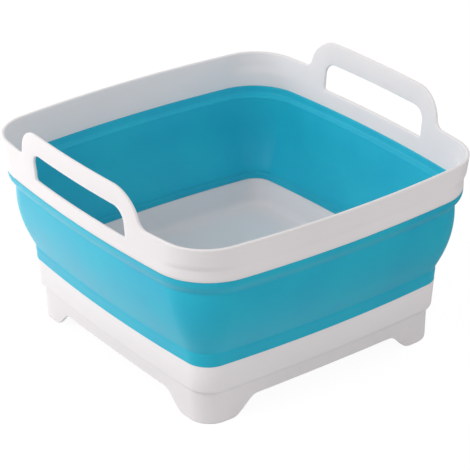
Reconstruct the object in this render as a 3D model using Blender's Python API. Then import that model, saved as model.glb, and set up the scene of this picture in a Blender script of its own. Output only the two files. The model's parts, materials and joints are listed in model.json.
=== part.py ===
# Collapsible wash basin: a white rim with two carry handles, a folding blue wall,
# a white base tray on four corner feet, a drain strainer and a drain plug.
# Metres, +Z up. The origin is on the table, under the middle of the basin.

import math
from collections import namedtuple

import bmesh
import bpy
from mathutils import Matrix

# Clearance between pieces, and how far a cutter runs past what it cuts
GAP = 0.0003
OVERRUN = 0.006

# Heights of the bands, from the table up
SKIRT_HEIGHT = 0.029
TRAY_WALL_HEIGHT = 0.027
LOWER_BAND_HEIGHT = 0.0115
PANEL_HEIGHT = 0.0625
UPPER_BAND_HEIGHT = 0.0122
COLLAR_HEIGHT = 0.0096
FLANGE_HEIGHT = 0.020
HANDLE_RISE = 0.029

STEP_Z = SKIRT_HEIGHT
TRAY_TOP_Z = STEP_Z + TRAY_WALL_HEIGHT
LOWER_HINGE_Z = TRAY_TOP_Z + LOWER_BAND_HEIGHT
UPPER_HINGE_Z = LOWER_HINGE_Z + PANEL_HEIGHT
WALL_TOP_Z = UPPER_HINGE_Z + UPPER_BAND_HEIGHT
COLLAR_TOP_Z = WALL_TOP_Z + COLLAR_HEIGHT
RIM_TOP_Z = COLLAR_TOP_Z + FLANGE_HEIGHT
HANDLE_TOP_Z = RIM_TOP_Z + HANDLE_RISE

# Plan of the basin at its main levels: half the width across the middle of two
# opposite sides, the corner radius, and how far the middle of a side bows out
RIM_HALF = 0.155
RIM_CORNER = 0.0417
RIM_BOW = 0.0123
FLANGE_HALF = 0.154
FLANGE_CORNER = 0.0432
FLANGE_BOW = 0.0118
COLLAR_HALF = 0.1532
COLLAR_CORNER = 0.050
COLLAR_BOW = 0.0104
TRAY_HALF = 0.1303
TRAY_CORNER = 0.0209
TRAY_BOW = 0.0070
SKIRT_HALF = 0.1242
SKIRT_CORNER = 0.0215
SKIRT_BOW = 0.0035
FOOT_HALF = 0.1218
FOOT_CORNER = 0.020
FOOT_BOW = 0.001

# The two sides that carry no handle stand a hair further apart
SIDE_RATIO_SHARE = 1.01

# Segments of a quarter turn round the plan
SIDE_STEPS = 3
CORNER_STEPS = 8

# Rim
RIM_THICKNESS = 0.0025
FLANGE_CURL = 0.0026
HANDLE_LEAN = 0.0029
HANDLE_HALF = 0.0828
HANDLE_CORNER = 0.028
HANDLE_FILLET = 0.008
SLOT_HALF = 0.064
SLOT_BELOW_RIM = 0.016
SLOT_ABOVE_RIM = 0.0096
SLOT_TOP_CORNER = 0.011
SLOT_BOTTOM_CORNER = 0.002

# Folding wall
WALL_THICKNESS = 0.0028
HINGE_THICKNESS = 0.0014
HINGE_WIDTH = 0.0026
UPPER_HINGE_INSET = 0.0058
LOWER_HINGE_OUTSET = 0.0013
PANEL_BULGE = 0.0036
PANEL_STEPS = 6

# Bond between the wall and the two rigid mouldings: a tongue in a groove, near
# which the wall stands upright, with the seam inside the basin off the one outside
TONGUE_THICKNESS = 0.0009
TONGUE_HEIGHT = 0.0025
BOND_HEIGHT = 0.0035
TOP_SEAM_DROP = 0.0018
BOTTOM_SEAM_RISE = 0.0010
TONGUE_INSET = (WALL_THICKNESS - TONGUE_THICKNESS) / 2

# Base tray
TRAY_DRAFT = 0.0022
STEP_CURL = 0.0045
FLOOR_THICKNESS = 0.0025
FLOOR_ABOVE_STEP = 0.003
FLOOR_FILLET = 0.007
SKIRT_THICKNESS = 0.003
FOOT_EDGE = 0.0006
ARCH_HEIGHT = 0.0158
ARCH_TOP_HALF = 0.070
ARCH_FOOT_HALF = 0.094
ARCH_STEPS = 8

# Drain in the tray's floor
RECESS_RADIUS = 0.030
RECESS_SLOPE = 0.0025
RECESS_DEPTH = 0.004
THROAT_RADIUS = 0.019
SPIGOT_THICKNESS = 0.0022
SPIGOT_LENGTH = 0.008
LEDGE_WIDTH = 0.0025
LEDGE_THICKNESS = 0.0018

FLOOR_Z = STEP_Z + FLOOR_ABOVE_STEP
RECESS_Z = FLOOR_Z - RECESS_DEPTH
SPIGOT_Z = RECESS_Z - FLOOR_THICKNESS - SPIGOT_LENGTH
LEDGE_Z = SPIGOT_Z + LEDGE_THICKNESS

# Drain strainer
STRAINER_THICKNESS = 0.0016
STRAINER_RIM_HEIGHT = 0.003
STRAINER_RIM_WIDTH = 0.0018
SLIT_WIDTH = 0.0022
SLIT_PITCH = 0.0046
SLIT_COUNT = 7
SLIT_MARGIN = 0.001

# Drain plug
PLUG_HEAD_RADIUS = 0.026
PLUG_HEAD_THICKNESS = 0.0028
PLUG_EDGE = 0.0009
STOPPER_DRAFT = 0.0012
TAB_HALF = 0.008
TAB_HEIGHT = 0.013
TAB_CORNER = 0.006
TAB_THICKNESS = 0.0034
ROUND_STEPS = 40

# Colours
WHITE = (0.80, 0.78, 0.78)
BLUE = (0.035, 0.38, 0.56)

Plan = namedtuple("Plan", "half corner bow")

RIM_PLAN = Plan(RIM_HALF, RIM_CORNER, RIM_BOW)
FLANGE_PLAN = Plan(FLANGE_HALF, FLANGE_CORNER, FLANGE_BOW)
COLLAR_PLAN = Plan(COLLAR_HALF, COLLAR_CORNER, COLLAR_BOW)
TRAY_PLAN = Plan(TRAY_HALF, TRAY_CORNER, TRAY_BOW)
SKIRT_PLAN = Plan(SKIRT_HALF, SKIRT_CORNER, SKIRT_BOW)
FOOT_PLAN = Plan(FOOT_HALF, FOOT_CORNER, FOOT_BOW)


def clear_scene():
    """Remove everything that the file starts with."""
    for item in list(bpy.data.objects):
        bpy.data.objects.remove(item, do_unlink=True)


def make_material(name, colour, roughness):
    """A plain plastic or rubber of one colour."""
    material = bpy.data.materials.new(name)
    material.use_nodes = True
    shader = material.node_tree.nodes["Principled BSDF"]
    shader.inputs["Base Color"].default_value = (*colour, 1.0)
    shader.inputs["Roughness"].default_value = roughness
    shader.inputs["Metallic"].default_value = 0.0
    return material


def inset(plan, distance):
    """The same plan, a distance further in all round."""
    return Plan(plan.half - distance, plan.corner - distance, plan.bow)


def blend(first, second, share):
    """The plan that lies a share of the way from the first to the second."""
    return Plan(*(a + (b - a) * share for a, b in zip(first, second)))


def plan_ring(plan, height):
    """Points round a square with bowed sides and rounded corners, at one height."""
    side_radius = plan.half ** 2 / (2 * plan.bow)
    side_centre = plan.half - side_radius
    reach = side_radius - plan.corner
    corner_centre = (side_centre + math.sqrt(2 * reach ** 2 - side_centre ** 2)) / 2
    turn = math.atan2(corner_centre, corner_centre - side_centre)
    quarter = []
    for step in range(SIDE_STEPS):
        angle = turn * step / SIDE_STEPS
        quarter.append((side_centre + side_radius * math.cos(angle), side_radius * math.sin(angle)))
    for step in range(CORNER_STEPS):
        angle = turn + (math.pi / 2 - 2 * turn) * step / CORNER_STEPS
        quarter.append((corner_centre + plan.corner * math.cos(angle),
                        corner_centre + plan.corner * math.sin(angle)))
    for step in range(SIDE_STEPS):
        angle = turn * (SIDE_STEPS - step) / SIDE_STEPS
        quarter.append((side_radius * math.sin(angle), side_centre + side_radius * math.cos(angle)))
    ring = []
    for _ in range(4):
        ring += quarter
        quarter = [(-y, x) for x, y in quarter]
    return [(x, y * SIDE_RATIO_SHARE, height) for x, y in ring]


def circle_ring(radius, height):
    """A circle with as many points as a plan ring, each on the same bearing."""
    ring = []
    for x, y, _ in plan_ring(TRAY_PLAN, 0):
        bearing = math.atan2(y, x)
        ring.append((radius * math.cos(bearing), radius * math.sin(bearing), height))
    return ring


def add_object(name, bm, material=None):
    """Turn a bmesh into a named object with its faces outwards."""
    bmesh.ops.recalc_face_normals(bm, faces=bm.faces)
    mesh = bpy.data.meshes.new(name)
    bm.to_mesh(mesh)
    bm.free()
    if material:
        mesh.materials.append(material)
    item = bpy.data.objects.new(name, mesh)
    bpy.context.scene.collection.objects.link(item)
    return item


def set_origin(item, height):
    """Put a piece's origin on the basin's axis, at a height, with its shape left in place."""
    item.data.transform(Matrix.Translation((0, 0, -height)))
    item.location.z = height


def smooth(item, degrees):
    """Shade a piece smooth, but not over a fold sharper than an angle."""
    item.data.shade_smooth()
    item.data.set_sharp_from_angle(angle=math.radians(degrees))


def loft(name, rings, material):
    """A hollow body through a closed loop of rings, the last joined to the first."""
    bm = bmesh.new()
    loops = [[bm.verts.new(point) for point in ring] for ring in rings]
    for loop, following in zip(loops, loops[1:] + loops[:1]):
        for side in range(len(loop)):
            other = (side + 1) % len(loop)
            bm.faces.new((loop[side], loop[other], following[other], following[side]))
    return add_object(name, bm, material)


def turned(name, profile, material):
    """A body turned about the Z axis from (radius, height) points that start and end on it."""
    bm = bmesh.new()
    verts = [bm.verts.new((radius, 0, height)) for radius, height in profile]
    edges = [bm.edges.new(pair) for pair in zip(verts, verts[1:])]
    bmesh.ops.spin(bm, geom=verts + edges, cent=(0, 0, 0), axis=(0, 0, 1),
                   angle=2 * math.pi, steps=ROUND_STEPS)
    bmesh.ops.remove_doubles(bm, verts=bm.verts, dist=GAP / 10)
    return add_object(name, bm, material)


def prism(name, outline, start, end, along):
    """An outline in the two other axes, drawn out along an axis from start to end."""
    axis = "XYZ".index(along)
    bm = bmesh.new()
    verts = []
    for first, second in outline:
        point = [first, second]
        point.insert(axis, start)
        verts.append(bm.verts.new(point))
    travel = [0, 0, 0]
    travel[axis] = end - start
    drawn = bmesh.ops.extrude_face_region(bm, geom=[bm.faces.new(verts)])
    moved = [part for part in drawn["geom"] if isinstance(part, bmesh.types.BMVert)]
    bmesh.ops.translate(bm, verts=moved, vec=travel)
    return add_object(name, bm)


def combine(item, tool, operation):
    """Join a tool to a piece with UNION, or cut it away with DIFFERENCE."""
    modifier = item.modifiers.new(tool.name, "BOOLEAN")
    modifier.operation = operation
    modifier.solver = "EXACT"
    modifier.object = tool
    tool.hide_render = True
    tool.display_type = "WIRE"


def arc(centre, radius, start, end, steps):
    """Points along an arc, its angles in degrees."""
    points = []
    for step in range(steps + 1):
        angle = math.radians(start + (end - start) * step / steps)
        points.append((centre[0] + radius * math.cos(angle), centre[1] + radius * math.sin(angle)))
    return points


def mirrored(half):
    """An outline and its mirror image, from the negative side to the positive one."""
    return [(-across, height) for across, height in reversed(half)] + half


def handle_outline():
    """Both handles seen from the side: a round shoulder, then a fillet down to the rim."""
    shoulder = (HANDLE_HALF - HANDLE_CORNER, HANDLE_TOP_Z - HANDLE_CORNER)
    fillet_z = RIM_TOP_Z + HANDLE_FILLET
    span = HANDLE_CORNER + HANDLE_FILLET
    fillet = (shoulder[0] + math.sqrt(span ** 2 - (shoulder[1] - fillet_z) ** 2), fillet_z)
    touch = math.degrees(math.atan2(fillet[1] - shoulder[1], fillet[0] - shoulder[0]))
    return mirrored(arc(shoulder, HANDLE_CORNER, 90, touch, 8)
                    + arc(fillet, HANDLE_FILLET, 180 + touch, 270, 4)[1:])


def slot_outline():
    """The hand hole: round bends at the top, tight ones at the bottom."""
    bottom = (SLOT_HALF - SLOT_BOTTOM_CORNER, RIM_TOP_Z - SLOT_BELOW_RIM + SLOT_BOTTOM_CORNER)
    top = (SLOT_HALF - SLOT_TOP_CORNER, RIM_TOP_Z + SLOT_ABOVE_RIM - SLOT_TOP_CORNER)
    return mirrored(arc(bottom, SLOT_BOTTOM_CORNER, 270, 360, 2)
                    + arc(top, SLOT_TOP_CORNER, 0, 90, 5))


def make_rim(material):
    """The rim with its flange, collar and two raised handles, as one moulding."""
    crown_z = HANDLE_TOP_Z + OVERRUN
    crown = inset(RIM_PLAN, -HANDLE_LEAN * (crown_z - RIM_TOP_Z) / HANDLE_RISE)
    curl_share = 0.3
    tongue_z = WALL_TOP_Z - TONGUE_HEIGHT
    seam_z = WALL_TOP_Z - TOP_SEAM_DROP
    rim = loft("rim_frame", [
        plan_ring(crown, crown_z),
        plan_ring(RIM_PLAN, RIM_TOP_Z),
        plan_ring(FLANGE_PLAN, COLLAR_TOP_Z + FLANGE_CURL),
        plan_ring(inset(FLANGE_PLAN, FLANGE_CURL * curl_share), COLLAR_TOP_Z + FLANGE_CURL * curl_share),
        plan_ring(COLLAR_PLAN, COLLAR_TOP_Z),
        plan_ring(COLLAR_PLAN, WALL_TOP_Z),
        plan_ring(inset(COLLAR_PLAN, TONGUE_INSET), WALL_TOP_Z),
        plan_ring(inset(COLLAR_PLAN, TONGUE_INSET), tongue_z),
        plan_ring(inset(COLLAR_PLAN, TONGUE_INSET + TONGUE_THICKNESS), tongue_z),
        plan_ring(inset(COLLAR_PLAN, TONGUE_INSET + TONGUE_THICKNESS), seam_z),
        plan_ring(inset(COLLAR_PLAN, WALL_THICKNESS), seam_z),
        plan_ring(inset(COLLAR_PLAN, WALL_THICKNESS), COLLAR_TOP_Z),
        plan_ring(inset(FLANGE_PLAN, RIM_THICKNESS), COLLAR_TOP_Z + FLANGE_CURL),
        plan_ring(inset(RIM_PLAN, RIM_THICKNESS), RIM_TOP_Z),
        plan_ring(inset(crown, RIM_THICKNESS), crown_z),
    ], material)
    far = RIM_HALF * SIDE_RATIO_SHARE + HANDLE_LEAN + OVERRUN
    above = crown_z + OVERRUN
    trim = [(-far, RIM_TOP_Z)] + handle_outline() + [(far, RIM_TOP_Z), (far, above), (-far, above)]
    combine(rim, prism("rim_trim", trim, -far, far, "X"), "DIFFERENCE")
    combine(rim, prism("hand_hole", slot_outline(), -far, far, "X"), "DIFFERENCE")
    smooth(rim, 35)
    set_origin(rim, WALL_TOP_Z)
    return rim


def wall_ring(half, height, depth):
    """A ring of the wall: its outer half width at a height, and the depth below its outer skin."""
    low = TRAY_TOP_Z + BOND_HEIGHT
    high = WALL_TOP_Z - BOND_HEIGHT
    share = (height - low) / (high - low)
    level = blend(TRAY_PLAN, COLLAR_PLAN, min(max(share, 0), 1))
    return plan_ring(inset(Plan(half, level.corner, level.bow), depth), height)


def groove(half, mouth_z, seam_z, end_z):
    """The groove that takes a tongue, from the outer lip round to the inner one."""
    near = TONGUE_INSET - GAP
    far = TONGUE_INSET + TONGUE_THICKNESS + GAP
    return [
        wall_ring(half, mouth_z, near),
        wall_ring(half, end_z, near),
        wall_ring(half, end_z, far),
        wall_ring(half, seam_z, far),
    ]


def make_wall(material):
    """The folding wall: an upright band at each bond, and a stiff bowed panel
    between two hinge grooves, all one soft moulding."""
    upper_half = COLLAR_HALF - UPPER_HINGE_INSET
    lower_half = TRAY_HALF + LOWER_HINGE_OUTSET
    side = HINGE_WIDTH / 2
    groove_depth = WALL_THICKNESS - HINGE_THICKNESS
    panel = []
    for step in range(PANEL_STEPS + 1):
        share = step / PANEL_STEPS
        bulge = PANEL_BULGE * 4 * share * (1 - share)
        half = upper_half + (lower_half - upper_half) * share + bulge
        panel.append((half, UPPER_HINGE_Z - side - (PANEL_HEIGHT - HINGE_WIDTH) * share))
    shoulder_share = 0.27
    shoulder = (COLLAR_HALF - UPPER_HINGE_INSET * shoulder_share, WALL_TOP_Z - UPPER_BAND_HEIGHT / 2)
    top = WALL_TOP_Z - GAP
    top_inside = WALL_TOP_Z - TOP_SEAM_DROP - GAP
    foot = TRAY_TOP_Z + GAP
    foot_inside = TRAY_TOP_Z + BOTTOM_SEAM_RISE + GAP
    outside = [(COLLAR_HALF, top, 0), (COLLAR_HALF, WALL_TOP_Z - BOND_HEIGHT, 0), (*shoulder, 0),
               (upper_half, UPPER_HINGE_Z + side, 0), (upper_half, UPPER_HINGE_Z, groove_depth)]
    outside += [(*point, 0) for point in panel]
    outside += [(lower_half, LOWER_HINGE_Z, groove_depth), (lower_half, LOWER_HINGE_Z - side, 0),
                (TRAY_HALF, TRAY_TOP_Z + BOND_HEIGHT, 0), (TRAY_HALF, foot, 0)]
    inside = [(TRAY_HALF, foot_inside, WALL_THICKNESS),
              (TRAY_HALF, TRAY_TOP_Z + BOND_HEIGHT, WALL_THICKNESS),
              (lower_half, LOWER_HINGE_Z, WALL_THICKNESS)]
    inside += [(*point, WALL_THICKNESS) for point in reversed(panel[1:-1])]
    inside += [(upper_half, UPPER_HINGE_Z, WALL_THICKNESS), (*shoulder, WALL_THICKNESS),
               (COLLAR_HALF, top_inside, WALL_THICKNESS)]
    rings = [wall_ring(*level) for level in outside]
    rings += groove(TRAY_HALF, foot, foot_inside, TRAY_TOP_Z + TONGUE_HEIGHT + GAP)
    rings += [wall_ring(*level) for level in inside]
    rings += reversed(groove(COLLAR_HALF, top, top_inside, WALL_TOP_Z - TONGUE_HEIGHT - GAP))
    wall = loft("folding_wall", rings, material)
    smooth(wall, 35)
    set_origin(wall, TRAY_TOP_Z)
    return wall


def arch_outline():
    """The opening between two feet: level at the top, with S-curved sides down to the feet."""
    half = []
    for step in range(ARCH_STEPS + 1):
        share = step / ARCH_STEPS
        across = ARCH_TOP_HALF + (ARCH_FOOT_HALF - ARCH_TOP_HALF) * share
        half.append((across, ARCH_HEIGHT * (1 + math.cos(math.pi * share)) / 2))
    half.append((ARCH_FOOT_HALF, -OVERRUN))
    return mirrored(half)


def make_tray(material):
    """The base tray: wall, floor with its drain, and the skirt that forms four corner feet."""
    low = Plan(TRAY_HALF - TRAY_DRAFT, TRAY_CORNER, (TRAY_BOW + SKIRT_BOW) / 2)
    curl_shares = [(0.08, 0.5), (0.35, 0.15)]
    curl = [plan_ring(blend(low, SKIRT_PLAN, inward), STEP_Z + STEP_CURL * upward)
            for inward, upward in curl_shares]
    inner = inset(low, WALL_THICKNESS)
    fillet_shares = [(1.0, 0.0), (0.5, 0.13), (0.13, 0.5), (0.0, 1.0)]
    fillet = [plan_ring(inset(inner, FLOOR_FILLET * inward), FLOOR_Z + FLOOR_FILLET * upward)
              for inward, upward in fillet_shares]
    under_z = FLOOR_Z - FLOOR_THICKNESS
    recess_under_z = RECESS_Z - FLOOR_THICKNESS
    spigot = THROAT_RADIUS + SPIGOT_THICKNESS
    ledge = THROAT_RADIUS - LEDGE_WIDTH
    tongue_z = TRAY_TOP_Z + TONGUE_HEIGHT
    seam_z = TRAY_TOP_Z + BOTTOM_SEAM_RISE
    tray = loft("base_tray", [
        plan_ring(TRAY_PLAN, TRAY_TOP_Z),
        plan_ring(low, STEP_Z + STEP_CURL),
        *curl,
        plan_ring(SKIRT_PLAN, STEP_Z),
        plan_ring(FOOT_PLAN, FOOT_EDGE),
        plan_ring(inset(FOOT_PLAN, FOOT_EDGE), 0),
        plan_ring(inset(FOOT_PLAN, SKIRT_THICKNESS), 0),
        plan_ring(inset(SKIRT_PLAN, SKIRT_THICKNESS), under_z),
        circle_ring(RECESS_RADIUS + FLOOR_THICKNESS, under_z),
        circle_ring(RECESS_RADIUS + FLOOR_THICKNESS - RECESS_SLOPE, recess_under_z),
        circle_ring(spigot, recess_under_z),
        circle_ring(spigot, SPIGOT_Z),
        circle_ring(ledge, SPIGOT_Z),
        circle_ring(ledge, LEDGE_Z),
        circle_ring(THROAT_RADIUS, LEDGE_Z),
        circle_ring(THROAT_RADIUS, RECESS_Z),
        circle_ring(RECESS_RADIUS - RECESS_SLOPE, RECESS_Z),
        circle_ring(RECESS_RADIUS, FLOOR_Z),
        *fillet,
        plan_ring(inset(TRAY_PLAN, WALL_THICKNESS), seam_z),
        plan_ring(inset(TRAY_PLAN, TONGUE_INSET + TONGUE_THICKNESS), seam_z),
        plan_ring(inset(TRAY_PLAN, TONGUE_INSET + TONGUE_THICKNESS), tongue_z),
        plan_ring(inset(TRAY_PLAN, TONGUE_INSET), tongue_z),
        plan_ring(inset(TRAY_PLAN, TONGUE_INSET), TRAY_TOP_Z),
    ], material)
    far = TRAY_HALF * SIDE_RATIO_SHARE + OVERRUN
    for along in "XY":
        combine(tray, prism("arch_" + along, arch_outline(), -far, far, along), "DIFFERENCE")
    smooth(tray, 35)
    return tray


def slit_outline(centre, half):
    """A narrow slit with round ends, across X at a place along it."""
    radius = SLIT_WIDTH / 2
    end = half - radius
    return arc((centre, end), radius, 0, 180, 4) + arc((centre, -end), radius, 180, 360, 4)


def make_strainer(material):
    """The strainer: a shallow slitted cup that rests on the throat's ledge."""
    floor = LEDGE_Z + GAP
    radius = THROAT_RADIUS - GAP
    strainer = turned("drain_strainer", [
        (0, floor),
        (radius, floor),
        (radius, floor + STRAINER_RIM_HEIGHT),
        (radius - STRAINER_RIM_WIDTH, floor + STRAINER_RIM_HEIGHT),
        (radius - STRAINER_RIM_WIDTH, floor + STRAINER_THICKNESS),
        (0, floor + STRAINER_THICKNESS),
    ], material)
    field = THROAT_RADIUS - LEDGE_WIDTH - SLIT_MARGIN
    for index in range(SLIT_COUNT):
        centre = (index - (SLIT_COUNT - 1) / 2) * SLIT_PITCH
        edge = abs(centre) + SLIT_WIDTH / 2
        if edge < field:
            outline = slit_outline(centre, math.sqrt(field ** 2 - edge ** 2))
            slit = prism("slit_%d" % index, outline, SPIGOT_Z - OVERRUN, RECESS_Z, "Z")
            combine(strainer, slit, "DIFFERENCE")
    smooth(strainer, 35)
    return strainer


def make_plug(material):
    """The plug: a head in the floor's recess, a stopper in the throat, and a pull tab."""
    head_z = RECESS_Z + GAP
    head_top_z = head_z + PLUG_HEAD_THICKNESS
    stopper_z = LEDGE_Z + GAP + STRAINER_RIM_HEIGHT + GAP
    stopper = THROAT_RADIUS - GAP
    plug = turned("drain_plug", [
        (0, stopper_z),
        (stopper - STOPPER_DRAFT, stopper_z),
        (stopper, head_z),
        (PLUG_HEAD_RADIUS - PLUG_EDGE, head_z),
        (PLUG_HEAD_RADIUS, head_z + PLUG_EDGE),
        (PLUG_HEAD_RADIUS, head_top_z - PLUG_EDGE),
        (PLUG_HEAD_RADIUS - PLUG_EDGE, head_top_z),
        (0, head_top_z),
    ], material)
    corner = (TAB_HALF - TAB_CORNER, head_top_z + TAB_HEIGHT - TAB_CORNER)
    half = [(TAB_HALF, head_z)] + arc(corner, TAB_CORNER, 0, 90, 6)
    tab = prism("pull_tab", mirrored(half[::-1])[::-1], -TAB_THICKNESS / 2, TAB_THICKNESS / 2, "Y")
    combine(plug, tab, "UNION")
    smooth(plug, 35)
    set_origin(plug, RECESS_Z)
    return plug


def main():
    """Build the five pieces, each in its own material."""
    clear_scene()
    make_rim(make_material("rim_plastic", WHITE, 0.35))
    make_wall(make_material("wall_rubber", BLUE, 0.45))
    make_tray(make_material("tray_plastic", WHITE, 0.35))
    make_strainer(make_material("strainer_plastic", WHITE, 0.4))
    make_plug(make_material("plug_rubber", BLUE, 0.5))


main()
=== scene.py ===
import json
import math

import bmesh
import bpy
from mathutils import Matrix, Vector
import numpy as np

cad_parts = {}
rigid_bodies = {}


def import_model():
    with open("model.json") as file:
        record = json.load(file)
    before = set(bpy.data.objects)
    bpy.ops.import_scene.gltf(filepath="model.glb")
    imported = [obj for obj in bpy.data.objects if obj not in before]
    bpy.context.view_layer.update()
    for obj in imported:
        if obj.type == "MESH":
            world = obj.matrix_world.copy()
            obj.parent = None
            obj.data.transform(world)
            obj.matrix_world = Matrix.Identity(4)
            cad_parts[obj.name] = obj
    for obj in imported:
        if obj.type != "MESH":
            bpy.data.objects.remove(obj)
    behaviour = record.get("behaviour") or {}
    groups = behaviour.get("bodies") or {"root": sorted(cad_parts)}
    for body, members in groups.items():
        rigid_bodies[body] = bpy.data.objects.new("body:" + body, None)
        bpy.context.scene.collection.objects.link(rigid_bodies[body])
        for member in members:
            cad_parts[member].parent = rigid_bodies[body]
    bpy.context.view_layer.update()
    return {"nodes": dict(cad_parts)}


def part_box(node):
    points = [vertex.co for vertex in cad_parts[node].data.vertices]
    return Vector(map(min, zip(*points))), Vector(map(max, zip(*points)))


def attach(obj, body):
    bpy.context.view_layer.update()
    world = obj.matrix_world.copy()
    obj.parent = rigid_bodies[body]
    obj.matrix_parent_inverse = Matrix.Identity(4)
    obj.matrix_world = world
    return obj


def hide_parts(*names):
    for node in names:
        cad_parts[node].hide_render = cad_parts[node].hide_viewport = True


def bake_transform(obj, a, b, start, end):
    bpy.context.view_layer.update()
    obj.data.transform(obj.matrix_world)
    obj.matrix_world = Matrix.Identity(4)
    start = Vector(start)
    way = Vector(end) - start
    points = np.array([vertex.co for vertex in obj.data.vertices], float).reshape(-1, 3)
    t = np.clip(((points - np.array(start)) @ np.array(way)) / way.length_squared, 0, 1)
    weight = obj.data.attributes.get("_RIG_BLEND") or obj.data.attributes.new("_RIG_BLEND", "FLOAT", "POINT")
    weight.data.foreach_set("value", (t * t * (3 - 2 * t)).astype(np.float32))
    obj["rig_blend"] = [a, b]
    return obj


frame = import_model()
print("frame loaded:", ", ".join(sorted(frame["nodes"])))

mm = 0.001
sharpAngle = 50  # degrees past which an edge gets its bevel
smoothAngle = 40  # degrees up to which faces are shaded as one

# Plans of the basin at its main levels: half width, corner radius, bow of a side
basin = {
    "rim": (155.0 * mm, 41.7 * mm, 12.3 * mm),
    "flange": (154.0 * mm, 43.2 * mm, 11.8 * mm),
    "collar": (153.2 * mm, 50.0 * mm, 10.4 * mm),
    "tray": (130.3 * mm, 20.9 * mm, 7.0 * mm),
    "trayLow": (128.1 * mm, 20.9 * mm, 5.25 * mm),
    "skirt": (124.2 * mm, 21.5 * mm, 3.5 * mm),
    "foot": (121.8 * mm, 20.0 * mm, 1.0 * mm),
    "sideRatio": 1.01,  # the two sides without a handle stand a hair further apart
    "sideSteps": 12,
    "cornerSteps": 16,
    "seam": 0.12 * mm,  # fine line where the soft wall meets the rigid mouldings
    "speck": 1.0 * mm,  # a triangle this small is merged into one point
    "weld": 0.01 * mm,  # points closer than this are one
    "cutReach": 232.5 * mm,  # a cut starts and ends this far from the middle
}


# Building tools

def inset(plan, distance):  # the same plan, a distance further in
    half, corner, bow = plan
    return (half - distance, corner - distance, bow)


def between(first, second, share):  # a plan that lies a share of the way from one to the other
    return tuple(a + (b - a) * share for a, b in zip(first, second))


def softShare(share):  # an even share turned into a soft S-curve
    return (1 - math.cos(math.pi * share)) / 2


def startPiece(name):  # an empty mesh at the origin, left in edit mode
    bpy.ops.object.select_all(action="DESELECT")
    bpy.ops.mesh.primitive_plane_add(size=basin["tray"][0], location=(0, 0, 0))
    piece = bpy.context.object
    piece.name = name
    piece.data.name = name
    bpy.ops.object.mode_set(mode="EDIT")
    bpy.ops.mesh.select_mode(type="VERT")
    bpy.ops.mesh.select_all(action="SELECT")
    bpy.ops.mesh.delete(type="VERT")
    return piece


def placePoint(place):  # one loose, selected vertex
    bpy.ops.mesh.select_all(action="DESELECT")
    bpy.ops.mesh.primitive_circle_add(vertices=3, radius=basin["speck"], location=place)
    bpy.ops.mesh.merge(type="CENTER")


def drawRing(piece, plan, height):
    # Four bowed sides and four round corners, each spun about its own centre.
    # In the background a spin turns the other way round, so its angles are negative.
    half, corner, bow = plan
    sideRadius = half ** 2 / (2 * bow)
    sideCentre = half - sideRadius
    reach = sideRadius - corner
    cornerCentre = (sideCentre + math.sqrt(2 * reach ** 2 - sideCentre ** 2)) / 2
    turn = math.atan2(cornerCentre, cornerCentre - sideCentre)
    placePoint((sideCentre + sideRadius * math.cos(turn), -sideRadius * math.sin(turn), height))
    for quarter in range(4):
        facing = Matrix.Rotation(math.radians(90 * quarter), 3, "Z")
        bpy.ops.mesh.spin(steps=basin["sideSteps"], angle=-2 * turn, axis=(0, 0, 1),
                          center=facing @ Vector((sideCentre, 0, height)))
        bpy.ops.mesh.spin(steps=basin["cornerSteps"], angle=2 * turn - math.radians(90), axis=(0, 0, 1),
                          center=facing @ Vector((cornerCentre, cornerCentre, height)))
    bpy.ops.mesh.select_linked()
    bpy.ops.mesh.remove_doubles(threshold=basin["weld"])
    keepLoop(piece)


def drawCircle(piece, radius, height):
    bpy.ops.mesh.select_all(action="DESELECT")
    count = 4 * (basin["sideSteps"] + basin["cornerSteps"])
    bpy.ops.mesh.primitive_circle_add(vertices=count, radius=radius, location=(0, 0, height))
    keepLoop(piece)


def keepLoop(piece):  # the selected loop is remembered as a vertex group
    group = piece.vertex_groups.new(name="loop")
    piece.vertex_groups.active_index = group.index
    bpy.ops.object.vertex_group_assign()


def bridgeLoops(piece):  # each loop is bridged to the next one, and the last to the first
    count = len(piece.vertex_groups)
    for first in range(count):
        bpy.ops.mesh.select_all(action="DESELECT")
        for index in (first, (first + 1) % count):
            piece.vertex_groups.active_index = index
            bpy.ops.object.vertex_group_select()
        bpy.ops.mesh.bridge_edge_loops()
    bpy.ops.mesh.select_all(action="SELECT")
    bpy.ops.transform.resize(value=(1, basin["sideRatio"], 1), center_override=(0, 0, 0))
    bpy.ops.mesh.normals_make_consistent(inside=False)


def drawOutline(points, closed=True):  # a vertex drawn out from point to point, then filled
    places = [Vector(point) for point in points]
    if closed:
        places.append(places[0])
    placePoint(places[0])
    for start, end in zip(places, places[1:]):
        bpy.ops.mesh.extrude_region_move(TRANSFORM_OT_translate={"value": end - start})
    bpy.ops.mesh.select_linked()
    if closed:
        bpy.ops.mesh.remove_doubles(threshold=basin["weld"])
        bpy.ops.mesh.edge_face_add()


def arc(centre, radius, start, end, steps):  # points along an arc, angles in degrees
    angles = [math.radians(start + (end - start) * step / steps) for step in range(steps + 1)]
    return [(centre[0] + radius * math.cos(angle), centre[1] + radius * math.sin(angle))
            for angle in angles]


def bothSides(half):  # an outline and its mirror image
    return [(-across, height) for across, height in reversed(half)] + half


def makeCutter(name, points, along):  # an outline drawn out right through the basin
    cutter = startPiece(name)
    far = basin["cutReach"]
    if along == "X":
        drawOutline([(-far, across, height) for across, height in points])
        travel = (2 * far, 0, 0)
    elif along == "Y":
        drawOutline([(across, -far, height) for across, height in points])
        travel = (0, 2 * far, 0)
    else:
        drawOutline([(across, ahead, -far) for across, ahead in points])
        travel = (0, 0, 2 * far)
    bpy.ops.mesh.extrude_region_move(TRANSFORM_OT_translate={"value": travel})
    bpy.ops.mesh.select_all(action="SELECT")
    bpy.ops.mesh.normals_make_consistent(inside=False)
    bpy.ops.object.mode_set(mode="OBJECT")
    return cutter


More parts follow.
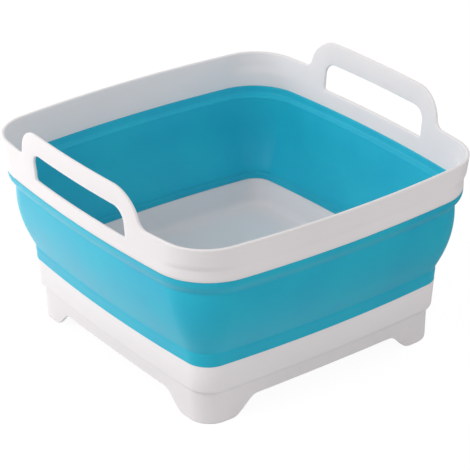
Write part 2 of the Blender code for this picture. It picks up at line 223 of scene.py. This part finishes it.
def pick(piece):  # the only selected object, and the active one
    bpy.ops.object.select_all(action="DESELECT")
    bpy.context.view_layer.objects.active = piece
    piece.select_set(True)


def combine(piece, other, operation):  # Boolean, applied, and the other object removed
    pick(piece)
    modifier = piece.modifiers.new(other.name, "BOOLEAN")
    modifier.operation = operation
    modifier.solver = "EXACT"
    modifier.object = other
    bpy.ops.object.modifier_apply(modifier=modifier.name)
    bpy.data.objects.remove(other)


def editPiece(piece, shortEdge=None):  # into edge mode, after edges shorter than a length are closed
    pick(piece)
    bpy.ops.object.mode_set(mode="EDIT")
    if shortEdge:
        bpy.ops.mesh.select_mode(type="VERT")
        bpy.ops.mesh.select_all(action="SELECT")
        bpy.ops.mesh.remove_doubles(threshold=shortEdge)
    bpy.ops.mesh.select_mode(type="EDGE")


def bevelSharp(piece, test, width, segments, degrees=sharpAngle):
    # Rounds the sharp edges whose middle passes a test
    bpy.ops.mesh.select_all(action="DESELECT")
    bpy.ops.mesh.edges_select_sharp(sharpness=math.radians(degrees))
    mesh = bmesh.from_edit_mesh(piece.data)
    for edge in mesh.edges:
        if edge.select and not test((edge.verts[0].co + edge.verts[1].co) / 2):
            edge.select = False
    mesh.select_flush_mode()
    bmesh.update_edit_mesh(piece.data)
    bpy.ops.mesh.bevel(offset=width, segments=segments, affect="EDGES")


def applyModifier(piece, kind, **settings):
    pick(piece)
    modifier = piece.modifiers.new(kind.lower(), kind)
    for name, value in settings.items():
        setattr(modifier, name, value)
    bpy.ops.object.modifier_apply(modifier=modifier.name)


def finishPiece(piece, material, degrees=smoothAngle):
    if bpy.context.mode != "OBJECT":
        bpy.ops.object.mode_set(mode="OBJECT")
    pick(piece)
    piece.vertex_groups.clear()
    piece.data.materials.clear()
    piece.data.materials.append(material)
    bpy.ops.object.shade_smooth_by_angle(angle=math.radians(degrees))
    print(piece.name, "has", len(piece.data.polygons), "faces")


# Materials

def linear(code):  # an sRGB hex colour as linear red, green, blue, alpha
    values = [int(code[place:place + 2], 16) / 255 for place in (1, 3, 5)]
    return (*[v / 12.92 if v <= 0.04045 else ((v + 0.055) / 1.055) ** 2.4 for v in values], 1.0)


def addNode(material, kind, settings, links=()):  # links: (this node's input, another node's output)
    node = material.node_tree.nodes.new("ShaderNode" + kind)
    for name, value in settings.items():
        if name in node.inputs:
            node.inputs[name].default_value = value
        else:
            setattr(node, name, value)
    for name, socket in links:
        material.node_tree.links.new(node.inputs[name], socket)
    return node


polypropylene = {
    "colour": "#F2ECEC",
    "shade": "#EBE6E7",
    "roughness": 0.46,
    "roughnessSpread": 0.06,
    "ior": 1.49,
    "specular": 0.2,
    "cloudiness": 0.3,  # light goes a little way in, as it does in milky plastic
    "cloudDepth": 2.5 * mm,
    "cloudShares": (1.0, 1.0, 1.0),  # how much of that depth red, green and blue go
    "flowSize": 70.0 * mm,  # soft flow marks of the melt
    "flowDetail": 2.0,
    "flowRoughness": 0.45,
    "grainSize": 0.9 * mm,  # spark-eroded mould grain, real size 0.2 mm, drawn coarser to show
    "grainHeight": 0.01 * mm,
    "grainDetail": 1.0,
    "grainStrength": 0.35,
}

elastomer = {
    "colour": "#1ABDD2",
    "shade": "#0AA6C9",
    "roughness": 0.5,
    "roughnessSpread": 0.05,
    "ior": 1.5,
    "specular": 0.36,
    "cloudiness": 0.25,
    "cloudDepth": 2.5 * mm,
    "cloudShares": (0.4, 0.9, 1.0),  # the blue pigment stops red light first
    "flowSize": 45.0 * mm,
    "flowDetail": 3.0,
    "flowRoughness": 0.5,
    "grainSize": 0.7 * mm,  # matte mould grain, real size 0.1 mm, drawn coarser to show
    "grainHeight": 0.012 * mm,
    "grainDetail": 2.0,
    "grainStrength": 0.4,
    "sheen": 0.12,
    "sheenRoughness": 0.4,
    "sheenTint": "#DDF4FA",
}


def mouldedSkin(name, look):  # what both plastics have: milky depth, slow flow marks and mould grain
    material = bpy.data.materials.new(name)
    material.use_nodes = True
    shader = material.node_tree.nodes["Principled BSDF"]
    shader.inputs["IOR"].default_value = look["ior"]
    shader.inputs["Specular IOR Level"].default_value = look["specular"]
    shader.inputs["Subsurface Weight"].default_value = look["cloudiness"]
    shader.inputs["Subsurface Scale"].default_value = look["cloudDepth"]
    shader.inputs["Subsurface Radius"].default_value = look["cloudShares"]
    place = addNode(material, "TexCoord", {}).outputs["Object"]
    flow = addNode(material, "TexNoise", {"Scale": 1 / look["flowSize"], "Detail": look["flowDetail"],
                                          "Roughness": look["flowRoughness"]}, [("Vector", place)])
    tint = addNode(material, "MixRGB", {"Color1": linear(look["shade"]), "Color2": linear(look["colour"])},
                   [("Fac", flow.outputs["Fac"])])
    gloss = addNode(material, "MapRange", {"To Min": look["roughness"] - look["roughnessSpread"],
                                           "To Max": look["roughness"] + look["roughnessSpread"]},
                    [("Value", flow.outputs["Fac"])])
    grain = addNode(material, "TexNoise", {"Scale": 1 / look["grainSize"], "Detail": look["grainDetail"]},
                    [("Vector", place)])
    bump = addNode(material, "Bump", {"Strength": look["grainStrength"], "Distance": look["grainHeight"]},
                   [("Height", grain.outputs["Fac"])])
    links = material.node_tree.links
    links.new(shader.inputs["Base Color"], tint.outputs["Color"])
    links.new(shader.inputs["Roughness"], gloss.outputs["Result"])
    links.new(shader.inputs["Normal"], bump.outputs["Normal"])
    return material


def mouldedPolypropylene(name):
    # Injection-moulded white polypropylene: a satin, faintly waxy skin with a slow change of gloss
    return mouldedSkin(name, polypropylene)


def mouldedElastomer(name):
    # Thermoplastic elastomer, moulded over the rigid parts: matte and soft, paler where seen at a slant
    material = mouldedSkin(name, elastomer)
    shader = material.node_tree.nodes["Principled BSDF"]
    shader.inputs["Sheen Weight"].default_value = elastomer["sheen"]
    shader.inputs["Sheen Roughness"].default_value = elastomer["sheenRoughness"]
    shader.inputs["Sheen Tint"].default_value = linear(elastomer["sheenTint"])
    return material


# Rim with its flange, collar and two raised handles

rim = {
    "seamZ": 142.2 * mm,
    "stepFootZ": 150.8 * mm,
    "stepTopZ": 157.6 * mm,
    "innerStepTopZ": 163.0 * mm,
    "stepLevels": 8,
    "topZ": 171.8 * mm,
    "handleTopZ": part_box("rim_frame")[1].z,
    "overrun": 6.0 * mm,  # what a handle is made too high before it is cut to its outline
    "thickness": 2.6 * mm,
    "lean": 2.9 * mm,  # how far a handle's top leans out
    "leanStart": -1.5 * mm,  # it begins to lean just below the rim's lip
    "innerDrop": 1.8 * mm,  # the seam inside the basin lies lower than the one outside
    "handleHalf": 82.8 * mm,
    "handleCorner": 28.0 * mm,
    "handleSteps": 14,
    "handleFillet": 8.0 * mm,
    "filletSteps": 7,
    "slotHalf": 64.0 * mm,
    "slotBelow": 16.0 * mm,
    "slotAbove": 9.6 * mm,
    "slotTopCorner": 11.0 * mm,
    "slotTopSteps": 9,
    "slotBottomCorner": 2.0 * mm,
    "slotBottomSteps": 4,
    "lip": 0.95 * mm,
    "lipSegments": 4,
    "lipRoomBelow": 1.5 * mm,  # no level of the step runs beside the lower lip of a hand hole
    "lipRoomAbove": 0.6 * mm,
    "bond": 3.5 * mm,  # the collar is straight this far above the seam
    "seamEdge": 0.2 * mm,
    "shortEdge": 0.45 * mm,  # shorter edges that the cuts leave are closed
}


def handleOutline():
    shoulder = (rim["handleHalf"] - rim["handleCorner"], rim["handleTopZ"] - rim["handleCorner"])
    filletZ = rim["topZ"] + rim["handleFillet"]
    span = rim["handleCorner"] + rim["handleFillet"]
    fillet = (shoulder[0] + math.sqrt(span ** 2 - (shoulder[1] - filletZ) ** 2), filletZ)
    touch = math.degrees(math.atan2(fillet[1] - shoulder[1], fillet[0] - shoulder[0]))
    return bothSides(arc(shoulder, rim["handleCorner"], 90, touch, rim["handleSteps"])
                     + arc(fillet, rim["handleFillet"], 180 + touch, 270, rim["filletSteps"])[1:])


def slotOutline():
    bottomZ = rim["topZ"] - rim["slotBelow"]
    topZ = rim["topZ"] + rim["slotAbove"]
    low = (rim["slotHalf"] - rim["slotBottomCorner"], bottomZ + rim["slotBottomCorner"])
    high = (rim["slotHalf"] - rim["slotTopCorner"], topZ - rim["slotTopCorner"])
    return bothSides(arc(low, rim["slotBottomCorner"], 270, 360, rim["slotBottomSteps"])
                     + arc(high, rim["slotTopCorner"], 0, 90, rim["slotTopSteps"]))


def makeRim(material):
    piece = startPiece("rimShell")
    crownZ = rim["handleTopZ"] + rim["overrun"]
    leanZ = rim["topZ"] + rim["leanStart"]
    crown = inset(basin["rim"], -rim["lean"] * (crownZ - leanZ) / (rim["handleTopZ"] - leanZ))
    slotZ = rim["topZ"] - rim["slotBelow"]

    def face(stepTopZ):  # the levels of one face: a soft step leads from the flange in to the collar
        levels = [(crown, crownZ), (basin["rim"], leanZ)]
        for step in range(rim["stepLevels"] + 1):
            share = step / rim["stepLevels"]
            height = stepTopZ + (rim["stepFootZ"] - stepTopZ) * share
            if not slotZ - rim["lipRoomBelow"] < height < slotZ + rim["lipRoomAbove"]:
                levels.append((between(basin["flange"], basin["collar"], softShare(share)), height))
        return levels + [(basin["collar"], rim["seamZ"] + rim["bond"])]

    for plan, height in face(rim["stepTopZ"]):
        drawRing(piece, plan, height)
    drawRing(piece, basin["collar"], rim["seamZ"])
    drawRing(piece, inset(basin["collar"], rim["thickness"]), rim["seamZ"] - rim["innerDrop"])
    for plan, height in reversed(face(rim["innerStepTopZ"])):
        drawRing(piece, inset(plan, rim["thickness"]), height)
    bridgeLoops(piece)
    bpy.ops.object.mode_set(mode="OBJECT")
    far = basin["cutReach"]
    above = crownZ + rim["overrun"]
    trim = [(-far, rim["topZ"])] + handleOutline() + [(far, rim["topZ"]), (far, above), (-far, above)]
    combine(piece, makeCutter("rimTrim", trim, "X"), "DIFFERENCE")
    combine(piece, makeCutter("handHole", slotOutline(), "X"), "DIFFERENCE")
    editPiece(piece, rim["shortEdge"])
    bevelSharp(piece, lambda middle: middle.z < rim["seamZ"] + rim["seamEdge"], rim["seamEdge"], 1)
    bevelSharp(piece, lambda middle: middle.z > rim["seamZ"] + rim["bond"],
               rim["lip"], rim["lipSegments"])
    finishPiece(piece, material)
    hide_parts("rim_frame")
    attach(piece, "rim")


makeRim(mouldedPolypropylene("rimPolypropylene"))
print("rim made")


# The folding wall: two bands and a bowed panel, with a hinge groove between each two

wall = {
    "topZ": 142.2 * mm,
    "upperHingeZ": 130.0 * mm,
    "lowerHingeZ": 67.5 * mm,
    "footZ": 56.0 * mm,
    "upperDrop": 2.4 * mm,  # the outer fold lies below the hinge's height, the inner one above it
    "upperRise": 2.0 * mm,
    "bandTurn": 5.1 * mm,  # the outside of the upper band turns in this far above its crease
    "bandShares": (0.2, 0.55),  # how much of the way in it has come half way down and at that turn
    "ledgeHeight": 1.3 * mm,  # inside, a small ledge leads from the upper band to the panel
    "ledgeInset": 1.5 * mm,
    "ledgeShare": 0.7,  # how much of that inset is left one ledge's height further up
    "foldThinning": 1.3 * mm,  # the panel is thinner at its upper fold
    "lowerDrop": 4.6 * mm,  # the inner fold of the lower hinge is a flat groove just above the tray
    "thickness": 2.8 * mm,
    "hingeGroove": 0.45 * mm,  # the lower hinge, outside
    "hingeWidth": 2.4 * mm,
    "creaseGroove": 0.3 * mm,  # the upper hinge shows only as a fine crease outside
    "creaseWidth": 1.7 * mm,
    "foldGroove": 1.0 * mm,  # the lower hinge, inside
    "foldWidth": 1.6 * mm,
    "upperHingeInset": 5.8 * mm,
    "lowerHingeOutset": 1.3 * mm,
    "bulge": 3.6 * mm,
    "panelSteps": 6,
    "bond": 3.5 * mm,  # the wall is straight this far from its seams
    "topDrop": 1.8 * mm,  # inside, the wall ends lower at its top and higher at its foot
    "footRise": 1.0 * mm,
    "subdivisions": 2,
    "smoothAngle": 60,
}


def wallLevel(half, height, depth):  # corners and bows change evenly from the tray's to the collar's
    low = wall["footZ"] + wall["bond"]
    high = wall["topZ"] - wall["bond"]
    share = min(max((height - low) / (high - low), 0), 1)
    level = between(basin["tray"], basin["collar"], share)
    return inset((half, level[1], level[2]), depth), height


def wallLevels():  # from the outer top edge down the outside and up the inside
    collarHalf, trayHalf = basin["collar"][0], basin["tray"][0]
    upperHalf = collarHalf - wall["upperHingeInset"]
    lowerHalf = trayHalf + wall["lowerHingeOutset"]
    side, crease, fold = wall["hingeWidth"] / 2, wall["creaseWidth"] / 2, wall["foldWidth"] / 2
    thick, thin = wall["thickness"], wall["thickness"] - wall["foldThinning"]
    outerFoldZ = wall["upperHingeZ"] - wall["upperDrop"]
    innerFoldZ = wall["upperHingeZ"] + wall["upperRise"]
    lowFoldZ = wall["lowerHingeZ"] - wall["lowerDrop"]
    top, foot = wall["topZ"] - basin["seam"], wall["footZ"] + basin["seam"]

    def panel(firstZ, depth):  # bowed out by a parabola, down to the lower hinge
        points = []
        for step in range(wall["panelSteps"] + 1):
            share = step / wall["panelSteps"]
            half = upperHalf + (lowerHalf - upperHalf) * share + wall["bulge"] * 4 * share * (1 - share)
            points.append((half, firstZ + (wall["lowerHingeZ"] + side - firstZ) * share, depth))
        return points

    halfway, turned = [collarHalf - share * wall["upperHingeInset"] for share in wall["bandShares"]]
    ledgeHalf = collarHalf - wall["ledgeInset"]
    aboveLedgeHalf = collarHalf - wall["ledgeShare"] * wall["ledgeInset"]
    levels = [(collarHalf, top, 0),
              (collarHalf, wall["topZ"] - wall["bond"], 0),
              (halfway, (wall["topZ"] + outerFoldZ) / 2, 0),
              (turned, outerFoldZ + wall["bandTurn"], 0),
              (upperHalf, outerFoldZ + crease, 0),
              (upperHalf, outerFoldZ, wall["creaseGroove"])]
    levels += panel(outerFoldZ - crease, 0)
    levels += [(lowerHalf, wall["lowerHingeZ"], wall["hingeGroove"]),
               (lowerHalf, wall["lowerHingeZ"] - side, 0),
               (trayHalf, wall["footZ"] + wall["bond"], 0),
               (trayHalf, foot, 0),
               (trayHalf, foot + wall["footRise"], thick),
               (trayHalf, lowFoldZ - fold - wall["foldWidth"], thick),
               (trayHalf, lowFoldZ - fold, thick),
               (trayHalf, lowFoldZ, thick - wall["foldGroove"]),
               (trayHalf, lowFoldZ + fold, thick)]
    levels += reversed(panel(innerFoldZ - wall["foldWidth"], thick)[1:])
    levels += [(upperHalf, innerFoldZ - wall["foldWidth"], thin),
               (upperHalf, innerFoldZ - fold, thin),
               (upperHalf, innerFoldZ, thin),
               (ledgeHalf, innerFoldZ + wall["ledgeHeight"], rim["thickness"]),
               (aboveLedgeHalf, innerFoldZ + 2 * wall["ledgeHeight"], rim["thickness"]),
               (collarHalf, top - wall["topDrop"], rim["thickness"])]
    return [wallLevel(*level) for level in levels]


def makeWall(material):
    piece = startPiece("foldingWall")
    levels = wallLevels()
    for plan, height in levels:
        drawRing(piece, plan, height)
    bridgeLoops(piece)
    heights = [height for plan, height in levels]
    outerEnd = heights.index(min(heights))
    bpy.ops.mesh.select_all(action="DESELECT")
    for index in (0, outerEnd, outerEnd + 1, len(levels) - 1):  # the four end edges stay crisp
        piece.vertex_groups.active_index = index
        bpy.ops.object.vertex_group_select()
    bpy.ops.transform.edge_crease(value=1.0)
    bpy.ops.object.mode_set(mode="OBJECT")
    applyModifier(piece, "SUBSURF", levels=wall["subdivisions"], render_levels=wall["subdivisions"])
    finishPiece(piece, material, wall["smoothAngle"])
    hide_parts("folding_wall")
    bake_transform(piece, "base", "rim", start=(0, 0, wall["lowerHingeZ"]), end=(0, 0, wall["upperHingeZ"]))


makeWall(mouldedElastomer("wallElastomer"))
print("folding wall made")


# Base tray: low wall, floor with its drain, skirt and four corner feet

tray = {
    "topZ": 56.0 * mm,
    "stepZ": 29.0 * mm,
    "curl": 4.5 * mm,  # the wall curls in to the skirt over this height
    "curlAngles": (0, 22, 45, 68, 90),
    "wall": 2.8 * mm,
    "topRise": 1.0 * mm,
    "floorZ": 32.0 * mm,
    "floorThickness": 2.5 * mm,
    "floorFillet": 7.0 * mm,  # the round between floor and wall
    "filletAngles": (90, 72, 54, 36, 18, 0),
    "skirt": 3.0 * mm,
    "footEdge": 0.6 * mm,
    "archHeight": 15.8 * mm,
    "archTopHalf": 69.0 * mm,
    "archFootHalf": 93.0 * mm,
    "archSteps": 14,
    "overrun": 6.0 * mm,  # the cut of the arches starts this far below the feet
    "edge": 0.7 * mm,
    "edgeSegments": 3,
    "seamEdge": 0.2 * mm,
    "shortEdge": 0.3 * mm,
}

drain = {
    "recessRadius": 30.0 * mm,
    "recessSlope": 2.5 * mm,
    "recessZ": 28.0 * mm,
    "throatRadius": 19.0 * mm,
    "spigotThickness": 2.2 * mm,
    "spigotZ": 17.5 * mm,
    "ledgeZ": 19.3 * mm,
    "ledgeWidth": 2.5 * mm,
    "fall": 0.06 * mm,  # the rings of a level face differ by this, because level ones twist when bridged
}


def archOutline():
    half = []
    for step in range(tray["archSteps"] + 1):
        share = step / tray["archSteps"]
        across = tray["archTopHalf"] + (tray["archFootHalf"] - tray["archTopHalf"]) * share
        half.append((across, tray["archHeight"] * (1 - softShare(share))))
    return bothSides(half + [(tray["archFootHalf"], -tray["overrun"])])


def quarterRound(angle):  # how far in and up a quarter round has still to go, as shares of its radius
    return 1 - math.cos(math.radians(angle)), 1 - math.sin(math.radians(angle))


def makeTray(material):
    piece = startPiece("baseTray")
    low = basin["trayLow"]
    drawRing(piece, basin["tray"], tray["topZ"])
    for angle in tray["curlAngles"]:
        inward, upward = quarterRound(angle)
        drawRing(piece, between(low, basin["skirt"], inward), tray["stepZ"] + tray["curl"] * upward)
    drawRing(piece, basin["foot"], tray["footEdge"])
    drawRing(piece, inset(basin["foot"], tray["footEdge"]), 0)
    drawRing(piece, inset(basin["foot"], tray["skirt"]), drain["fall"])
    underZ = tray["floorZ"] - tray["floorThickness"]
    drawRing(piece, inset(basin["skirt"], tray["skirt"]), underZ)
    recessUnderZ = drain["recessZ"] - tray["floorThickness"]
    outerRecess = drain["recessRadius"] + tray["floorThickness"]
    spigot = drain["throatRadius"] + drain["spigotThickness"]
    ledge = drain["throatRadius"] - drain["ledgeWidth"]
    fall = drain["fall"]
    for radius, height in ((outerRecess, underZ - fall),
                           (outerRecess - drain["recessSlope"], recessUnderZ),
                           (spigot, recessUnderZ - fall),
                           (spigot, drain["spigotZ"]),
                           (ledge, drain["spigotZ"] + fall),
                           (ledge, drain["ledgeZ"] - fall),
                           (drain["throatRadius"], drain["ledgeZ"]),
                           (drain["throatRadius"], drain["recessZ"] - fall),
                           (drain["recessRadius"] - drain["recessSlope"], drain["recessZ"]),
                           (drain["recessRadius"], tray["floorZ"] - fall)):
        drawCircle(piece, radius, height)
    inner = inset(low, tray["wall"])
    fillet = tray["floorFillet"]
    for angle in tray["filletAngles"]:
        inward, upward = quarterRound(angle)
        drawRing(piece, inset(inner, fillet * inward), tray["floorZ"] + fillet * upward)
    drawRing(piece, inset(basin["tray"], tray["wall"]), tray["topZ"] + tray["topRise"])
    bridgeLoops(piece)
    bpy.ops.object.mode_set(mode="OBJECT")
    for along in "XY":
        combine(piece, makeCutter("arch" + along, archOutline(), along), "DIFFERENCE")
    editPiece(piece, tray["shortEdge"])
    bevelSharp(piece, lambda middle: middle.z > tray["topZ"] - tray["edge"], tray["seamEdge"], 1)
    bevelSharp(piece, lambda middle: middle.z < tray["topZ"] - tray["edge"], tray["edge"],
               tray["edgeSegments"], smoothAngle)
    finishPiece(piece, material)
    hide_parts("base_tray")
    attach(piece, "base")


makeTray(mouldedPolypropylene("trayPolypropylene"))
print("base tray made")


# Strainer: a shallow slitted cup on the ledge in the drain's throat

strainer = {
    "gap": 0.3 * mm,
    "thickness": 1.6 * mm,
    "rimHeight": 3.0 * mm,
    "rimWidth": 1.8 * mm,
    "slitWidth": 2.2 * mm,
    "slitPitch": 4.6 * mm,
    "slitCount": 7,
    "slitMargin": 1.0 * mm,
    "slitSteps": 8,
    "edge": 0.3 * mm,
    "edgeSegments": 2,
    "steps": 64,
}


def spinOutline(points, steps):  # an outline in the XZ plane, spun once round the Z axis
    drawOutline([(radius, 0, height) for radius, height in points], closed=False)
    bpy.ops.mesh.select_all(action="SELECT")
    bpy.ops.mesh.spin(steps=steps, angle=math.radians(-360), axis=(0, 0, 1), center=(0, 0, 0))
    bpy.ops.mesh.select_all(action="SELECT")
    bpy.ops.mesh.remove_doubles(threshold=basin["weld"])
    bpy.ops.mesh.normals_make_consistent(inside=False)
    bpy.ops.object.mode_set(mode="OBJECT")


def makeStrainer(material):
    piece = startPiece("drainStrainer")
    bottomZ = drain["ledgeZ"] + strainer["gap"]
    floorZ = bottomZ + strainer["thickness"]
    rimZ = bottomZ + strainer["rimHeight"]
    radius = drain["throatRadius"] - strainer["gap"]
    inner = radius - strainer["rimWidth"]
    spinOutline([(0, bottomZ), (radius, bottomZ), (radius, rimZ),
                 (inner, rimZ), (inner, floorZ), (0, floorZ)], strainer["steps"])
    field = drain["throatRadius"] - drain["ledgeWidth"] - strainer["slitMargin"]
    end = strainer["slitWidth"] / 2
    for index in range(strainer["slitCount"]):
        across = (index - (strainer["slitCount"] - 1) / 2) * strainer["slitPitch"]
        half = math.sqrt(field ** 2 - (abs(across) + end) ** 2) - end
        slit = (arc((across, half), end, 0, 180, strainer["slitSteps"])
                + arc((across, -half), end, 180, 360, strainer["slitSteps"]))
        combine(piece, makeCutter("slit", slit, "Z"), "DIFFERENCE")
    editPiece(piece)
    bevelSharp(piece, lambda middle: True, strainer["edge"], strainer["edgeSegments"])
    finishPiece(piece, material)
    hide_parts("drain_strainer")
    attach(piece, "base")


makeStrainer(mouldedPolypropylene("strainerPolypropylene"))
print("strainer made")


# Plug: a head in the floor's recess, a stopper in the throat and a pull tab

plug = {
    "gap": 0.3 * mm,
    "headRadius": 26.0 * mm,
    "headThickness": 2.8 * mm,
    "headEdge": 0.9 * mm,
    "headEdgeSteps": 4,
    "draft": 1.2 * mm,
    "ringRadius": 21.5 * mm,  # a shallow groove round the head
    "ringDepth": 0.5 * mm,
    "ringWidth": 1.6 * mm,
    "tabHalf": 8.0 * mm,
    "tabHeight": 13.0 * mm,
    "tabCorner": 6.0 * mm,
    "tabSteps": 8,
    "tabThickness": 3.4 * mm,
    "tabReach": 9.6 * mm,  # sharp edges further out belong to the head
    "edge": 0.5 * mm,
    "edgeSegments": 3,
    "steps": 96,
}


def makePlug(material):
    piece = startPiece("drainPlug")
    headZ = drain["recessZ"] + plug["gap"]
    topZ = headZ + plug["headThickness"]
    stopperZ = drain["ledgeZ"] + strainer["rimHeight"] + 2 * plug["gap"]
    stopper = drain["throatRadius"] - plug["gap"]
    edge, steps = plug["headEdge"], plug["headEdgeSteps"]
    flat = plug["headRadius"] - edge
    ring, ringZ = plug["ringRadius"], topZ - plug["ringDepth"]
    spinOutline([(0, stopperZ), (stopper - plug["draft"], stopperZ), (stopper, headZ), (flat, headZ)]
                + arc((flat, headZ + edge), edge, -90, 0, steps)[1:]
                + arc((flat, topZ - edge), edge, 0, 90, steps)
                + [(ring + plug["ringWidth"] / 2, topZ), (ring + plug["ringWidth"] / 4, ringZ),
                   (ring - plug["ringWidth"] / 4, ringZ), (ring - plug["ringWidth"] / 2, topZ),
                   (0, topZ)], plug["steps"])
    corner = (plug["tabHalf"] - plug["tabCorner"], topZ + plug["tabHeight"] - plug["tabCorner"])
    half = [(plug["tabHalf"], headZ + edge)] + arc(corner, plug["tabCorner"], 0, 90, plug["tabSteps"])
    tab = startPiece("pullTab")
    front = -plug["tabThickness"] / 2
    drawOutline([(across, front, height) for across, height in bothSides(half[::-1])])
    bpy.ops.mesh.extrude_region_move(TRANSFORM_OT_translate={"value": (0, plug["tabThickness"], 0)})
    bpy.ops.mesh.select_all(action="SELECT")
    bpy.ops.mesh.normals_make_consistent(inside=False)
    bpy.ops.object.mode_set(mode="OBJECT")
    combine(piece, tab, "UNION")
    editPiece(piece)
    bevelSharp(piece, lambda middle: middle.z > topZ - edge / 2 and middle.xy.length < plug["tabReach"],
               plug["edge"], plug["edgeSegments"])
    finishPiece(piece, material)
    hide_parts("drain_plug")
    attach(piece, "plug")


makePlug(mouldedElastomer("plugElastomer"))
print("plug made")


# Floor, light and camera

stage = {  # places and sizes in metres, power in watts
    "floorSize": 12.0,
    "floorColour": "#D2D2D2",
    "floorGlow": 1.1,
    "glowShare": 0.86,  # the rest of the floor is lit, and so keeps the shadow
    "paintedReflectionBehind": 2.6,  # painted reflection: seen only in a gloss, the floor glows this bright behind and to the left of the basin, and fades towards the front
    "paintedReflectionInFront": 0.0,
    "paintedReflectionWay": (-0.6, 0.8, 0.0),
    "paintedReflectionReach": 0.3,
    "worldColour": "#FFFFFF",
    "worldStrength": 0.59,
    "backStrength": 1.0,
    "lamps": {  # place, size and power
        "leftLamp": ((-2.3, 0.4, 1.65), 1.2, 22.5),
        "backLeftLamp": ((-1.8, 1.5, 0.9), 1.0, 14.2),
        "frontLamp": ((0.5, -2.4, 0.8), 1.4, 9.8),
    },
    "aim": (0.0, 0.0, 0.1),
}

lens = {  # fitted to the basin's outlines in the photo
    "place": (-0.928489, -1.239388, 0.889460),
    "right": (0.798138, -0.602453, -0.005184),
    "up": (0.281566, 0.365389, 0.887250),
    "length": 158.764,
    "sensor": 36.0,
}


def seenDirectly(material, path):  # 1 for camera, glossy and transmission rays
    mirrored = addNode(material, "Math", {"operation": "MAXIMUM"},
                       [(0, path.outputs["Is Camera Ray"]), (1, path.outputs["Is Glossy Ray"])])
    return addNode(material, "Math", {"operation": "MAXIMUM"},
                   [(0, mirrored.outputs["Value"]), (1, path.outputs["Is Transmission Ray"])])


def whiteFloor():
    # Seamless studio paper: white to the eye, matte, and it keeps a faint shadow. Seen in a gloss it carries
    # a painted reflection, a glow bright behind and to the left that fades to nothing in front.
    material = bpy.data.materials.new("studioPaper")
    material.use_nodes = True
    nodes = material.node_tree.nodes
    nodes.remove(nodes["Principled BSDF"])
    paper = addNode(material, "BsdfDiffuse", {"Color": linear(stage["floorColour"])})
    path = addNode(material, "LightPath", {})
    place = addNode(material, "TexCoord", {}).outputs["Object"]
    # painted reflection: for glossy rays the glow runs from nothing in front to bright behind and to the
    # left, along one way across the floor
    along = addNode(material, "VectorMath", {"operation": "DOT_PRODUCT"}, [(0, place)])
    along.inputs[1].default_value = stage["paintedReflectionWay"]
    paintedReflectionStrength = addNode(material, "MapRange", {"From Min": -stage["paintedReflectionReach"],
                                           "From Max": stage["paintedReflectionReach"],
                                           "To Min": stage["paintedReflectionInFront"],
                                           "To Max": stage["paintedReflectionBehind"]},
                    [("Value", along.outputs["Value"])])
    strength = addNode(material, "Mix", {"A": stage["floorGlow"]},
                       [("Factor", path.outputs["Is Glossy Ray"]), ("B", paintedReflectionStrength.outputs["Result"])])
    glow = addNode(material, "Emission", {}, [("Strength", strength.outputs["Result"])])
    seen = seenDirectly(material, path)
    share = addNode(material, "Math", {"operation": "MULTIPLY"}, [(0, seen.outputs["Value"])])
    share.inputs[1].default_value = stage["glowShare"]
    mix = addNode(material, "MixShader", {}, [("Fac", share.outputs["Value"]),
                                              (1, paper.outputs["BSDF"]),
                                              (2, glow.outputs["Emission"])])
    material.node_tree.links.new(nodes["Material Output"].inputs["Surface"], mix.outputs["Shader"])
    return material


def makeWorld():
    world = bpy.data.worlds.new("studio")
    world.use_nodes = True
    bpy.context.scene.world = world
    nodes = world.node_tree.nodes
    soft = nodes["Background"]
    soft.inputs["Color"].default_value = linear(stage["worldColour"])
    soft.inputs["Strength"].default_value = stage["worldStrength"]
    white = addNode(world, "Background", {"Color": linear(stage["worldColour"]),
                                          "Strength": stage["backStrength"]})
    seen = seenDirectly(world, addNode(world, "LightPath", {}))
    mix = addNode(world, "MixShader", {}, [("Fac", seen.outputs["Value"]),
                                           (1, soft.outputs["Background"]),
                                           (2, white.outputs["Background"])])
    world.node_tree.links.new(nodes["World Output"].inputs["Surface"], mix.outputs["Shader"])


def addLamp(name, place, size, power):
    bpy.ops.object.select_all(action="DESELECT")
    bpy.ops.object.light_add(type="AREA", location=place)
    lamp = bpy.context.object
    lamp.name = name
    lamp.data.shape = "DISK"
    lamp.data.size = size
    lamp.data.energy = power
    lamp.rotation_euler = (Vector(stage["aim"]) - Vector(place)).to_track_quat("-Z", "Y").to_euler()


def makeStage():
    bpy.ops.object.select_all(action="DESELECT")
    bpy.ops.mesh.primitive_plane_add(size=stage["floorSize"], location=(0, 0, 0))
    floor = bpy.context.object
    floor.name = "studioFloor"
    floor.data.materials.append(whiteFloor())
    makeWorld()
    for name, (place, size, power) in stage["lamps"].items():
        addLamp(name, place, size, power)


def makeCamera():
    bpy.ops.object.camera_add(location=lens["place"])
    camera = bpy.context.object
    right, up = Vector(lens["right"]), Vector(lens["up"])
    turned = Matrix((right, up, right.cross(up))).transposed()
    camera.rotation_euler = turned.to_euler()
    camera.data.lens = lens["length"]
    camera.data.sensor_width = lens["sensor"]
    bpy.context.scene.camera = camera


makeStage()
makeCamera()
bpy.context.scene.view_settings.view_transform = "Standard"
print("stage, lamps and camera made")
